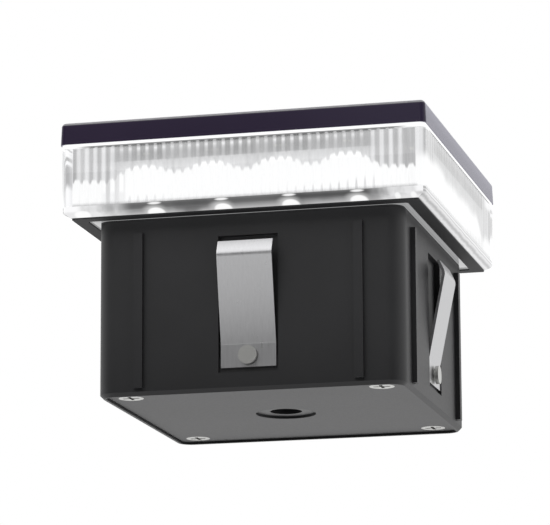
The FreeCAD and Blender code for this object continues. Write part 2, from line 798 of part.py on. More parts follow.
def base_plug():
    body = new_body("base_plug")
    outline = sketch(body, "-Sizes.plug_depth")
    rounded_square(outline, "Sizes.plug_width", "Sizes.plug_corner")
    pad(body, outline, f"{DECK_TOP} + Sizes.plug_depth")
    trim_edges(body, "Chamfer", -number("Sizes.plug_depth"), "Sizes.foot_chamfer")
    hollow = sketch(body, DECK_BOTTOM)
    rounded_square(hollow, "Sizes.plug_inside", "Sizes.plug_inside_corner")
    pocket(body, hollow, f"{DECK_BOTTOM} + Sizes.plug_depth")
    recess = sketch(body, LEDGE)
    rounded_square(recess, "Sizes.plate_recess_width", "Sizes.plug_inside_corner")
    pocket(body, recess, "Sizes.plate_recess")
    # pillars that take the bottom plate's screws, and stand-offs for the driver board
    pillars = sketch(body, PLATE_TOP)
    circle(pillars, "Sizes.pillar_place", "Sizes.pillar_place", "Sizes.pillar_radius")
    pillar = pad(body, pillars, f"{DECK_BOTTOM} - {PLATE_TOP}")
    pillar_holes = sketch(body, PLATE_TOP)
    bore = "Sizes.long_shank + Sizes.running_gap"
    circle(pillar_holes, "Sizes.pillar_place", "Sizes.pillar_place", bore)
    pillar_hole = pocket(body, pillar_holes, "Sizes.pillar_hole_depth", reverse=True)
    standoffs = sketch(body, DRIVER_TOP)
    circle(standoffs, "Sizes.standoff_place", "0", "Sizes.standoff_radius")
    standoff = pad(body, standoffs, "Sizes.standoff_height")
    standoff_holes = sketch(body, DRIVER_TOP)
    bore = "Sizes.fine_shank + Sizes.running_gap"
    circle(standoff_holes, "Sizes.standoff_place", "0", bore)
    standoff_hole = pocket(body, standoff_holes, "Sizes.standoff_hole_depth", reverse=True)
    deck_holes = sketch(body, DECK_TOP)
    bore = "Sizes.long_shank + 2 * Sizes.running_gap"
    circle(deck_holes, "Sizes.boss_place", "Sizes.boss_place", bore)
    deck_hole = pocket(body, deck_holes, "Sizes.deck_thickness")
    # a recess for each clip, with a raised seat that its tab is riveted to
    face = "-Sizes.plug_width / 2"
    recesses = sketch(body, "Sizes.plug_width / 2", "XZ_Plane")
    low = "-Sizes.clip_recess_bottom"
    rectangle(
        recesses, "-Sizes.clip_recess_width / 2", low, "Sizes.clip_recess_width",
        "Sizes.clip_recess_bottom - Sizes.clip_recess_top",
    )
    clip_recess = pocket(body, recesses, "Sizes.clip_recess_depth")
    seats = sketch(body, "Sizes.plug_width / 2 - Sizes.clip_recess_depth", "XZ_Plane")
    rectangle(
        seats, "-Sizes.clip_recess_width / 2", low, "Sizes.clip_recess_width",
        "Sizes.clip_recess_bottom - Sizes.clip_axis - Sizes.clip_seat_gap",
    )
    seat = pad(body, seats, "Sizes.clip_recess_depth - Sizes.clip_seat_depth")
    rivet_holes = sketch(body, "Sizes.plug_width / 2", "XZ_Plane")
    circle(rivet_holes, "0", "-Sizes.clip_axis", "Sizes.rivet_shank")
    wall = "(Sizes.plug_width - Sizes.plug_inside) / 2"
    rivet_hole = pocket(body, rivet_holes, wall)
    # guides that keep the plug central in its opening
    guides = sketch(body, "-Sizes.guide_bottom")
    guide_y = f"{face} - Sizes.guide_proud"
    guide_size = ("Sizes.guide_width", "Sizes.guide_proud + Sizes.running_gap")
    rectangle(guides, "Sizes.guide_place - Sizes.guide_width / 2", guide_y, *guide_size)
    rectangle(guides, "-Sizes.guide_place - Sizes.guide_width / 2", guide_y, *guide_size)
    guide = pad(body, guides, "Sizes.guide_bottom - Sizes.guide_top")
    around(body, [
        pillar, pillar_hole, standoff, standoff_hole, deck_hole,
        clip_recess, seat, rivet_hole, guide,
    ])
    wire_hole = sketch(body, DECK_TOP)
    circle(wire_hole, "0", "Sizes.output_place", "Sizes.grommet_hole")
    pocket(body, wire_hole, "Sizes.deck_thickness")


def wire_grommet():
    tall = "Sizes.deck_thickness + 2 * Sizes.grommet_flange_height"
    low = f"{DECK_BOTTOM} - Sizes.grommet_flange_height"
    middle = ("0", "Sizes.output_place")
    flange = ("Sizes.grommet_flange", "Sizes.grommet_flange_height")
    sleeve = cylinder("grommet_sleeve", "Sizes.grommet_hole", tall, *middle, low)
    lower = cylinder("grommet_lower", *flange, *middle, low)
    upper = cylinder("grommet_upper", *flange, *middle, DECK_TOP)
    bore = cylinder("grommet_bore", "Sizes.grommet_bore", tall, *middle, low)
    solid = fused("grommet_solid", [sleeve, lower, upper])
    keep(cut("wire_grommet", solid, bore), "wire_grommet")


def bottom_plate():
    body = new_body("bottom_plate")
    outline = sketch(body, PLATE_BOTTOM)
    rounded_square(outline, "Sizes.plate_width", "Sizes.plate_corner")
    pad(body, outline, "Sizes.plate_thickness")
    cup = sketch(body, PLATE_BOTTOM)
    circle(cup, "0", "0", "Sizes.well_radius + Sizes.well_wall")
    pad(body, cup, f"{WELL_TOP} - {PLATE_BOTTOM}")
    well = sketch(body, PLATE_BOTTOM)
    circle(well, "0", "0", "Sizes.well_radius")
    pocket(body, well, f"{WELL_ROOF} - {PLATE_BOTTOM}", reverse=True)
    thread_hole = sketch(body, WELL_ROOF)
    circle(thread_hole, "0", "0", "Sizes.inlet_thread + Sizes.running_gap")
    pocket(body, thread_hole, "Sizes.plate_thickness", reverse=True)
    shank = "Sizes.long_shank + Sizes.running_gap"
    holes = sketch(body, PLATE_BOTTOM)
    circle(holes, "Sizes.pillar_place", "Sizes.pillar_place", shank)
    hole = pocket(body, holes, "Sizes.plate_thickness", reverse=True)
    sinks = sketch(body, PLATE_BOTTOM)
    circle(sinks, "Sizes.pillar_place", "Sizes.pillar_place", "Sizes.sink_head + Sizes.running_gap")
    slope = "-atan((Sizes.sink_head - Sizes.long_shank) / Sizes.sink_height)"
    sink = pocket(body, sinks, "Sizes.sink_height", reverse=True, taper=slope)
    around(body, [hole, sink])


# ---- screws ------------------------------------------------------------------------------


def screws():
    boss, board, pillar, standoff = sizes(
        "boss_place", "board_screw_place", "pillar_place", "standoff_place"
    )
    long_screw = pan_screw(
        "long_screw", "Sizes.long_head", "Sizes.long_head_height",
        "Sizes.long_shank", "Sizes.long_length",
    )
    washer_low = number(DECK_BOTTOM) - number("Sizes.washer_height")
    group("cover_screws", copies(long_screw, four_corners(boss, washer_low, UPSIDE_DOWN)))
    disc = cylinder("washer_disc", "Sizes.washer_radius", "Sizes.washer_height", "0", "0", "0")
    hole = cylinder(
        "washer_hole", "Sizes.long_shank + Sizes.running_gap", "Sizes.washer_height", "0", "0", "0"
    )
    washer = cut("washer", disc, hole)
    group("cover_screw_washers", copies(washer, four_corners(boss, washer_low)))
    small_screw = pan_screw(
        "small_screw", "Sizes.small_head", "Sizes.small_head_height",
        "Sizes.small_shank", "Sizes.small_length",
    )
    low = number(BOARD_BOTTOM)
    group("led_board_screws", copies(small_screw, four_corners(board, low, UPSIDE_DOWN)))
    fine_screw = pan_screw(
        "fine_screw", "Sizes.fine_head", "Sizes.fine_head_height",
        "Sizes.fine_shank", "Sizes.fine_length",
    )
    low = number(DRIVER_BOTTOM)
    group("driver_board_screws", copies(fine_screw, four_sides(standoff, low, UPSIDE_DOWN)))
    head = cone("sink_head", "Sizes.sink_head", "Sizes.long_shank", "Sizes.sink_height", "0", "0", "0")
    stem = cylinder("sink_stem", "Sizes.long_shank", "Sizes.sink_length", "0", "0", "0")
    solid = fused("sink_solid", [head, stem])
    arm = "2 * Sizes.drive_share * Sizes.long_shank"
    slots = [
        box("sink_slot_x", arm, "Sizes.drive_width", "Sizes.drive_depth", "0", "0", "0"),
        box("sink_slot_y", "Sizes.drive_width", arm, "Sizes.drive_depth", "0", "0", "0"),
    ]
    sink_screw = cut("sink_screw", solid, fused("sink_drive", slots))
    group("bottom_plate_screws", copies(sink_screw, four_corners(pillar, number(PLATE_BOTTOM))))


# ---- the driver --------------------------------------------------------------------------


def driver_board():
    body = new_body("driver_board")
    outline = sketch(body, DRIVER_BOTTOM)
    rounded_square(outline, "Sizes.driver_width", "Sizes.driver_corner")
    pad(body, outline, "Sizes.board_thickness")
    holes = sketch(body, DRIVER_BOTTOM)
    circle(holes, "Sizes.standoff_place", "0", "Sizes.fine_shank + Sizes.running_gap")
    around(body, [pocket(body, holes, "Sizes.board_thickness", reverse=True)])


def below_driver(height):
    """The lower height of a part that hangs from the driver board."""
    return f"{DRIVER_BOTTOM} - ({height})"


def driver_parts():
    spot = "Sizes.part_place"
    can = ("Sizes.bulk_radius", "Sizes.bulk_height")
    keep(
        cylinder("bulk_capacitor", *can, spot, f"-{spot}", below_driver("Sizes.bulk_height")),
        "bulk_capacitor",
    )
    can = ("Sizes.output_radius", "Sizes.output_can_height")
    keep(
        cylinder("output_capacitor", *can, spot, spot, below_driver("Sizes.output_can_height")),
        "output_capacitor",
    )
    flange = ("Sizes.coil_flange", "Sizes.coil_flange_height", f"-{spot}", f"-{spot}")
    spool = [
        cylinder("coil_top", *flange, below_driver("Sizes.coil_flange_height")),
        cylinder("coil_foot", *flange, below_driver("Sizes.coil_height")),
        cylinder(
            "coil_middle", "Sizes.coil_core", "Sizes.coil_height",
            f"-{spot}", f"-{spot}", below_driver("Sizes.coil_height"),
        ),
    ]
    keep(fused("inductor_core", spool), "inductor_core")
    low = f"{DRIVER_BOTTOM} - Sizes.coil_height + Sizes.coil_flange_height"
    tall = "Sizes.coil_height - 2 * Sizes.coil_flange_height"
    wound = cylinder("coil_wound", "Sizes.coil_winding", tall, f"-{spot}", f"-{spot}", low)
    bore = cylinder("coil_bore", "Sizes.coil_core", tall, f"-{spot}", f"-{spot}", low)
    keep(cut("inductor_winding", wound, bore), "inductor_winding")
    bridge = box(
        "bridge_rectifier", "Sizes.bridge_length", "Sizes.bridge_width", "Sizes.bridge_height",
        f"-{spot}", spot, below_driver("Sizes.bridge_height"),
    )
    keep(bridge, "bridge_rectifier")
    diode = box(
        "driver_diode", "Sizes.diode_length", "Sizes.diode_width", "Sizes.diode_height",
        "0", f"-{spot}", below_driver("Sizes.diode_height"),
    )
    keep(diode, "driver_diode")
    driver_chip()
    resistor = box(
        "driver_resistor", "Sizes.chip_resistor_length", "Sizes.chip_resistor_width",
        "Sizes.chip_resistor_height", "0", "0", "0",
    )
    low = number(DRIVER_BOTTOM) - number("Sizes.chip_resistor_height")
    middle_x, middle_y, step_x, step_y = sizes(
        "resistor_x", "resistor_y", "resistor_step_x", "resistor_step_y"
    )
    columns = [side * middle_x + x for side in (-1, 1) for x in centred(2, step_x)]
    rows = [middle_y + y for y in centred(2, step_y)]
    group("driver_resistors", copies(resistor, [at(x, y, low) for x in columns for y in rows]))


def driver_chip():
    """An eight-legged chip, whose legs reach the board."""
    y = "Sizes.part_place"
    block = box(
        "chip_block", "Sizes.chip_length", "Sizes.chip_width", "Sizes.chip_height",
        "0", y, below_driver("Sizes.chip_height"),
    )
    legs = [
        box(
            f"chip_leg_{index}", "Sizes.chip_leg_width", "Sizes.chip_span",
            "Sizes.chip_leg_width", f"{step} * Sizes.chip_leg_pitch", y,
            below_driver("Sizes.chip_leg_width"),
        )
        for index, step in enumerate(centred(4, 1))
    ]
    keep(fused("driver_chip", [block, *legs]), "driver_chip")


# ---- the power inlet ---------------------------------------------------------------------


def inlet():
    centre = ("0", "0")
    shoulder = f"({WELL_ROOF} - Sizes.inlet_seal_height)"
    low = "-Sizes.inlet_bottom"
    stem_height = f"-Sizes.inlet_top - {shoulder}"
    pieces = [
        cylinder("inlet_body", "Sizes.inlet_radius", f"{shoulder} - ({low})", *centre, low),
        cylinder("inlet_stem", "Sizes.inlet_thread", stem_height, *centre, shoulder),
    ]
    solid = fused("inlet_solid", pieces)
    bores = [
        cylinder(
            "inlet_bore", "Sizes.inlet_bore", "Sizes.inlet_bottom - Sizes.inlet_bore_end",
            *centre, low,
        )
    ]
    pins = []
    for index, sign in enumerate((-1, 1)):
        x = f"{sign} * Sizes.wire_side"
        bores.append(
            cylinder(
                f"pin_bore_{index}", "Sizes.pin_radius",
                "Sizes.inlet_bottom - Sizes.inlet_top", x, "0", low,
            )
        )
        pins.append(
            cylinder(
                f"inlet_pin_{index}", "Sizes.pin_radius",
                "Sizes.inlet_bore_end - Sizes.pin_top", x, "0", "-Sizes.inlet_bore_end",
            )
        )
    keep(cut("inlet_socket", solid, fused("inlet_bores", bores)), "inlet_socket")
    group("inlet_pins", pins)
    thread_gap = "Sizes.inlet_thread + Sizes.running_gap"
    ring = ("Sizes.inlet_radius", "Sizes.inlet_seal_height", *centre, shoulder)
    hole = cylinder("inlet_seal_hole", thread_gap, *ring[1:])
    keep(cut("inlet_seal", cylinder("inlet_seal_disc", *ring), hole), "inlet_seal")
    nut = doc.addObject("Part::Prism", "nut_block")
    nut.Polygon = 6
    nut.setExpression("Circumradius", "Sizes.inlet_nut_radius")
    nut.setExpression("Height", "Sizes.inlet_nut_height")
    place(nut, *centre, WELL_TOP)
    nut_hole = cylinder("nut_hole", thread_gap, "Sizes.inlet_nut_height", *centre, WELL_TOP)
    keep(cut("inlet_nut", nut, nut_hole), "inlet_nut")


# ---- the spring clips --------------------------------------------------------------------


def clips():
    """A spring-steel clip on each side of the plug: a riveted tab, a leaning arm and a fold."""
    centre, axis = number(CLIP_CENTRE), number("Sizes.clip_axis")
    tab, arm, fold = sizes("clip_tab", "clip_arm", "clip_fold")
    lean, fold_lean = (math.radians(angle) for angle in sizes("clip_lean", "clip_fold_lean"))
    bend = number("Sizes.clip_bend")
    foot = FreeCAD.Vector(-centre, -axis - tab, 0)
    root = FreeCAD.Vector(-centre, -axis + tab, 0)
    belly = root + FreeCAD.Vector(-math.sin(lean), math.cos(lean), 0) * arm
    tip = belly + FreeCAD.Vector(math.sin(fold_lean), math.cos(fold_lean), 0) * fold
    for quarter, side in enumerate(QUARTERS):
        label = side + "_clip"
        body = new_body(label)
        section = sketch(body, "-Sizes.clip_axis - Sizes.clip_tab")
        thick = "Sizes.clip_thickness"
        rectangle(
            section, "-Sizes.clip_width / 2", f"-{CLIP_CENTRE} - {thick} / 2",
            "Sizes.clip_width", thick,
        )
        pipe(body, [foot, root, belly, tip], bend, "YZ_Plane", {"sketch": section, "offset": "0"})
        holes = sketch(body, f"{CLIP_CENTRE} + {thick}", "XZ_Plane")
        circle(holes, "0", "-Sizes.clip_axis", "Sizes.rivet_hole")
        pocket(body, holes, f"2 * {thick}")
        body.Placement = at(0, 0, 0, FreeCAD.Rotation(UP, 90 * quarter))
    rivets(centre, axis)


def rivets(centre, axis):
    """Four rivets, each drawn along +Z with its head at the top, then laid on its side."""
    head_low = "Sizes.clip_thickness / 2 + Sizes.rivet_gap"
    wall_inside = f"Sizes.plug_inside / 2 - {CLIP_CENTRE}"
    stem = ("Sizes.rivet_shank", f"{head_low} - ({wall_inside})", "0", "0")
    head = ("Sizes.rivet_head", "Sizes.rivet_head_height", "0", "0")
    pieces = [
        cylinder("rivet_top", *head, head_low),
        cylinder("rivet_tail", *head, f"{wall_inside} - Sizes.rivet_head_height"),
        cylinder("rivet_stem", *stem, wall_inside),
    ]
    rivet = fused("rivet", pieces)
    outward = FreeCAD.Rotation(UP, FreeCAD.Vector(0, -1, 0))
    front = [at(0, -centre, -axis, outward)]
    group("clip_rivets", copies(rivet, [where for one in quarter_turns(front) for where in one]))


# ---- build, check and write --------------------------------------------------------------


def failed():
    """What has gone wrong in the document, as a list of words."""
    doc.recompute()
    problems = []
    for thing in doc.Objects:
        if {"Invalid", "Error"} & set(thing.State):
            problems.append(f"{thing.Name}: {thing.State}")
    for node in nodes:
        shape = node.Shape
        if shape.isNull() or not shape.isValid() or not shape.Solids:
            problems.append(f"{node.Label}: its shape is empty or not valid")
    return problems


top_cover()
gaskets()
lens_ring()
reflector_core()
led_board()
thermal_pad()
leds()
socket(
    "led_socket", "Sizes.led_socket_place", f"{BOARD_BOTTOM} - Sizes.socket_height",
    "Sizes.socket_height", f"{BOARD_BOTTOM} - Sizes.socket_height",
)
base_plug()
wire_grommet()
driver_board()
socket(
    "output_socket", "Sizes.output_place", DRIVER_TOP, "Sizes.output_height",
    f"{DRIVER_TOP} + Sizes.output_height - Sizes.wire_entry",
)
socket(
    "input_socket", "-Sizes.input_place", below_driver("Sizes.socket_height"),
    "Sizes.socket_height", below_driver("Sizes.socket_height"),
)
leads()
driver_parts()
bottom_plate()
inlet()
screws()
clips()

problems = failed()
if problems:
    raise RuntimeError("; ".join(problems))
os.makedirs("parts", exist_ok=True)
for node in nodes:
    node.Shape.exportStep(os.path.join("parts", node.Label + ".step"))
    print(f"{node.Label}: {len(node.Shape.Solids)} solids, {node.Shape.Volume:.1f} mm3")
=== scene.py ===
import json
import math
from collections import namedtuple

import bpy
from mathutils import Matrix, Vector

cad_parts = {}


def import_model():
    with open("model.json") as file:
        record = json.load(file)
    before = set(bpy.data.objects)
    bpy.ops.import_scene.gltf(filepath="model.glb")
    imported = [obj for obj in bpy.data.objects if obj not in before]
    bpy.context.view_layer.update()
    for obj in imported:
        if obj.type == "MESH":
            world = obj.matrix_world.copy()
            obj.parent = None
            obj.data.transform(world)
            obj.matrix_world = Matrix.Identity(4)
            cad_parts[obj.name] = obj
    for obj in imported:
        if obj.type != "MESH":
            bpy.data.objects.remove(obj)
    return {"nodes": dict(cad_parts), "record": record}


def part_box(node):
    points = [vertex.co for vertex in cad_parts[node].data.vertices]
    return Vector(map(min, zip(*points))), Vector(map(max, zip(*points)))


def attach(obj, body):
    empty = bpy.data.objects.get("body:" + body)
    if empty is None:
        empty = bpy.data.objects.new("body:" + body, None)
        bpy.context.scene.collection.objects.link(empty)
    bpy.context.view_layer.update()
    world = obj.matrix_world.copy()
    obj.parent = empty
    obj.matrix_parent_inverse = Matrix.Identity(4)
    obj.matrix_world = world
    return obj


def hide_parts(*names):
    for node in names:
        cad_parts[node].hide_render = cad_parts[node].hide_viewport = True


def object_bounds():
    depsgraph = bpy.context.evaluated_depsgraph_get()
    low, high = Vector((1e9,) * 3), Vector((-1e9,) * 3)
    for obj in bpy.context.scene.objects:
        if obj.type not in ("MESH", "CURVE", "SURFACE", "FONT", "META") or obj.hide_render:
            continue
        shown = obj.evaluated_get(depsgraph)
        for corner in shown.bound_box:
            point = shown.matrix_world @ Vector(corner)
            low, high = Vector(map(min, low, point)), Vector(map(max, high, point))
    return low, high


# A square LED cap light, in metres: +Z is up and the front is -Y. Each solid of the construction
# is shown in its own finish. Only the clear ring is made again, with small roundings on its edges.

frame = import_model()
cad_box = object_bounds()
nodes = frame["nodes"]

MM = 0.001


def low(node):
    """The lowest x, y and z of a node."""
    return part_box(node)[0]


def high(node):
    """The highest x, y and z of a node."""
    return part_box(node)[1]


# Heights, half widths and steps that the pieces share, as they are in the construction.
COVER_LOW = 16.1 * MM
COVER_TOP = high("top_cover").z
LENS_LOW, LENS_TOP = low("lens_ring").z, high("lens_ring").z
LENS_HALF = high("lens_ring").x
LENS_FOOT_HALF = 39.6 * MM
LENS_FLOOR = low("reflector_core").z
LENS_INSIDE = 37.6 * MM
CHAMFER_TOP = 1.2 * MM
RIB_PITCH = 1.87 * MM
RIB_COUNT = 39
RIB_RADIUS = 0.75 * MM
RIB_PROUD = 0.38 * MM
LED_PITCH = 14.7 * MM
LED_HALF_ROW = 2 * LED_PITCH
CEILING = low("led_board").z

# Linear colours that several finishes share.
WHITE = (1.0, 1.0, 1.0)
BLACK = (0.0, 0.0, 0.0)
PALE = (0.3, 0.302, 0.305)
PALER = (0.35, 0.352, 0.355)
DARK_CLEAR = (0.05, 0.05, 0.051)
ACRYLIC_IOR = 1.49

# Where a point of the ring or of a seal is, in millimetres: how far out from the axis, how far
# along its side to the right of the side's middle, the same without a sign, and how high.
SidePoint = namedtuple("SidePoint", "out run off z")


def cool(level):
    """A grey with a faint blue cast."""
    return (level, level, level * 1.01)


# ---- shader maths --------------------------------------------------------------------------


class Flow:
    """A number, colour or vector that flows between a finish's nodes."""

    def __init__(self, finish, socket):
        self.finish = finish
        self.socket = socket

    def maths(self, operation, *values):
        return self.finish.node("ShaderNodeMath", {"operation": operation}, values).out()

    def __add__(self, other):
        return self.maths("ADD", self, other)

    def __sub__(self, other):
        return self.maths("SUBTRACT", self, other)

    def __rsub__(self, other):
        return self.maths("SUBTRACT", other, self)

    def __mul__(self, other):
        return self.maths("MULTIPLY", self, other)

    def __truediv__(self, other):
        return self.maths("DIVIDE", self, other)

    def __rtruediv__(self, other):
        return self.maths("DIVIDE", other, self)

    def __pow__(self, other):
        return self.maths("POWER", self, other)

    __radd__ = __add__
    __rmul__ = __mul__

    def size(self):
        """The same without its sign."""
        return self.maths("ABSOLUTE", self)

    def sign(self):
        """-1, 0 or 1."""
        return self.maths("SIGN", self)

    def above(self, other):
        """1 where it is above another, and 0 elsewhere."""
        return self.maths("GREATER_THAN", self, other)

    def within(self, reach):
        """Kept between minus a reach and the reach."""
        return self.larger(-reach).smaller(reach)

    def larger(self, other):
        return self.maths("MAXIMUM", self, other)

    def smaller(self, other):
        return self.maths("MINIMUM", self, other)

    def wrap(self, step):
        """What is left over after whole steps."""
        return self.maths("MODULO", self, step)

    def wave(self, step):
        """A cosine that is 1 at every multiple of a step."""
        return self.maths("COSINE", self * (2 * math.pi / step))

    def rise(self, start, end):
        """From 0 at start to 1 at end, with soft shoulders."""
        settings = {"interpolation_type": "SMOOTHSTEP"}
        return self.finish.node("ShaderNodeMapRange", settings, (self, start, end, 0.0, 1.0)).out()

    def near(self, middle, reach):
        """1 at a value and 0 further than a reach from it."""
        return (self - middle).size().rise(reach, 0.0)


class Step:
    """A node that has been added, whose outputs carry on."""

    def __init__(self, finish, node):
        self.finish = finish
        self.node = node

    def out(self, name=0):
        return Flow(self.finish, self.node.outputs[name])


class Wiring:
    """The nodes of one material, or of the world."""

    def __init__(self, tree, kind="ShaderNodeOutputMaterial"):
        self.tree = tree
        tree.nodes.clear()
        self.end = tree.nodes.new(kind)

    def feed(self, socket, value):
        """Links a flow to a socket, or sets the value that the socket holds."""
        if isinstance(value, Flow):
            self.tree.links.new(value.socket, socket)
        else:
            socket.default_value = value

    def node(self, kind, settings=None, inputs=()):
        """Adds a node: its settings first, then what its sockets hold or take, by place or name."""
        made = self.tree.nodes.new(kind)
        for key, value in (settings or {}).items():
            if key == "stops":
                ramp(made.color_ramp, value)
            else:
                setattr(made, key, value)
        pairs = inputs.items() if isinstance(inputs, dict) else enumerate(inputs)
        for key, value in pairs:
            self.feed(made.inputs[key], value)
        return Step(self, made)

    def blend(self, factor, first, second):
        """One shader fading into another."""
        return self.node("ShaderNodeMixShader", None, (factor, first, second)).out()

    def done(self, shader):
        """Ends the wiring with its shader."""
        self.tree.links.new(shader.socket, self.end.inputs["Surface"])


class Finish(Wiring):
    """A material, made from nodes."""

    def __init__(self, name):
        self.material = bpy.data.materials.new(name)
        self.material.use_nodes = True
        super().__init__(self.material.node_tree)

    def place(self):
        """x, y and z of a point of the object, in metres."""
        point = self.node("ShaderNodeTexCoord").out("Object")
        parts = self.node("ShaderNodeSeparateXYZ", None, (point,))
        return [parts.out(axis) for axis in "XYZ"]

    def side_point(self):
        """Where a point of the ring or of a seal is, from its side's middle."""
        x, y, z = (part / MM for part in self.place())
        level = y.size().above(x.size())
        run = (1 - level) * (y * x.sign()) - level * (x * y.sign())
        return SidePoint(x.size().larger(y.size()), run, x.size().smaller(y.size()), z)

    def glancing(self):
        """How glancing the view of the flat of a side is, leaving out its ribs: 0 to 1."""
        x, y, _ = self.place()
        level = y.size().above(x.size())
        inputs = {"X": (1 - level) * x.sign(), "Y": level * y.sign(), "Z": 0.0}
        flat = self.node("ShaderNodeCombineXYZ", None, inputs).out()
        weights = self.node("ShaderNodeLayerWeight", None, {"Blend": 0.5, "Normal": flat})
        return weights.out("Facing")

    def noise(self, per_metre, detail=3.0, roughness=0.5, stretch=(1, 1, 1)):
        """Noise from 0 to 1 with a number of grains in a metre."""
        point = self.node("ShaderNodeTexCoord").out("Object")
        spread = self.node("ShaderNodeMapping", None, {"Vector": point, "Scale": stretch}).out()
        inputs = {"Vector": spread, "Scale": per_metre, "Detail": detail, "Roughness": roughness}
        return self.node("ShaderNodeTexNoise", None, inputs).out()

    def colours(self, factor, *stops):
        """A colour that runs through stops of (place, colour)."""
        return self.node("ShaderNodeValToRGB", {"stops": stops}, (factor,)).out()

    def grey(self, factor, *stops):
        """A grey that runs through stops of (place, level)."""
        return self.colours(factor, *((place, cool(level)) for place, level in stops))

    def mix(self, factor, first, second):
        """A colour between two colours."""
        made = self.node("ShaderNodeMix", {"data_type": "RGBA"})
        for index, value in ((0, factor), (6, first), (7, second)):
            self.feed(made.node.inputs[index], opaque(value))
        return made.out(2)

    def wash(self, colour, *layers):
        """A colour under greys, each laid over it through a mask: (mask, level)."""
        for mask, level in layers:
            colour = self.mix(mask, colour, cool(level))
        return colour

    def bump(self, height, depth, strength=1.0):
        """A normal from a height of 0 to 1 that stands for a depth in metres."""
        inputs = {"Strength": strength, "Distance": depth, "Height": height}
        return self.node("ShaderNodeBump", None, inputs).out()

    def principled(self, **sockets):
        """A Principled shader, its sockets named with underscores."""
        named = {key.replace("_", " "): opaque(value) for key, value in sockets.items()}
        return self.node("ShaderNodeBsdfPrincipled", None, named).out()


def opaque(value):
    """A colour with its alpha of 1, and anything else as it is."""
    return (*value, 1.0) if isinstance(value, tuple) and len(value) == 3 else value


def ramp(colours, stops):
    """Sets a colour ramp's stops to (place, colour)."""
    while len(colours.elements) > 1:
        colours.elements.remove(colours.elements[-1])
    for index, (place, colour) in enumerate(stops):
        stop = colours.elements[0] if index == 0 else colours.elements.new(place)
        stop.position = place
        stop.color = (*colour, 1.0)


# ---- the cover's coat ----------------------------------------------------------------------


def cover_coat():
    """Satin near-black coat with a plum cast, with painted light: paler toward the right, a
    highlight along its rounded top edge, a bluish sheen on its sides and a glow inside.
    """
    f = Finish("cover_coat")
    x, y, z = f.place()
    grain = f.noise(2600, detail=2)
    cloud = f.noise(45)
    within_wall = 39.0 * MM
    on_side = x.size().larger(y.size()).rise(within_wall, within_wall + 0.15 * MM)
    inside = z.rise(COVER_LOW - 0.05 * MM, COVER_LOW - 0.15 * MM)

    plum, paler_plum = (0.0180, 0.0094, 0.0345), (0.0210, 0.0116, 0.0380)
    painted_light_plum = (0.0285, 0.0205, 0.0475)
    colour = f.mix(cloud.rise(0.35, 0.7), plum, paler_plum)
    # painted light: the coat turns paler toward its right
    colour = f.mix(x.rise(4 * MM, 34 * MM) * 0.85, colour, painted_light_plum)
    # painted highlight along the rounded top edge, flecked by noise
    rounding = z.rise(COVER_TOP - 0.72 * MM, COVER_TOP - 0.5 * MM)
    painted_edge_highlight = rounding * on_side * (f.noise(700) * 0.5 + 0.7)
    colour = f.mix(painted_edge_highlight, colour, (0.36, 0.355, 0.37))
    # painted light inside the cover, where the LEDs shine: a paler grey coat here, and a faint glow
    # in the emission below
    colour = f.mix(inside, colour, (0.3, 0.3, 0.3))

    # painted sheen: a bluish glow on the sides seen at a glance, brighter toward the top
    up_the_side = z.rise(COVER_TOP - 3.4 * MM, COVER_TOP - 0.9 * MM)
    painted_sheen = f.mix(up_the_side, (0.0, 0.0, 0.032), (0.05, 0.05, 0.09))
    glancing = f.node("ShaderNodeLayerWeight", None, {"Blend": 0.5}).out("Facing")
    painted_sheen = f.mix(glancing.rise(0.55, 0.75) * on_side, BLACK, painted_sheen)
    shader = f.principled(
        Base_Color=colour, Roughness=grain * 0.08 + 0.27, IOR=1.26,
        Coat_Weight=0.6, Coat_Roughness=0.2, Coat_IOR=1.26,
        Emission_Color=f.mix(inside, painted_sheen, (0.11, 0.11, 0.112)), Emission_Strength=1.0,
        Normal=f.bump(grain, 0.012 * MM, 0.5),
    )
    f.done(shader)
    return f.material


# ---- the light in the clear ring -----------------------------------------------------------
#
# Lengths here are in millimetres: heights above the origin, and runs along a side from its
# middle to its right. A mask is 1 where its name says and 0 elsewhere, and is multiplied by how
# strongly it tells. A side is aslant where it is turned from the eye.
# The ring's light and shade are painted into its emission colour.

RIB_STEP = RIB_PITCH / MM
LED_STEP = LED_PITCH / MM
HALF_ROW = LED_HALF_ROW / MM
RING_TOP = LENS_TOP / MM
RING_FLOOR = LENS_FLOOR / MM
RING_INSIDE = LENS_INSIDE / MM
STRIPES_TOP = 15.3
STRIPES_HIGH = 4.0
HUMPS_TOP = 10.6
HUMPS_RIGHT = 0.6
SPIKES_FOOT = 2.5
SPOTS_RIGHT = 3.0
FOOT_HIGH = 3.0
BANDS_FOOT = 5.0
BANDS_HIGH = 10.0


def rib_line(run):
    """1 on the middle of each rib, and 0 between the ribs."""
    return run.wave(RIB_STEP).rise(-0.1, 0.95)


def as_bent(run):
    """A run as the painted bright lines on the ribs show it, shifted a little to one side."""
    right, left = run.rise(8, 18), run.rise(-25, -31)
    last_ribs, right_corner = run.rise(26.6, 27.2), run.rise(27, 36)
    slip = right * 0.15 - left * 0.29 + last_ribs * 0.45 + right_corner * 0.35 - 0.37
    return run - slip


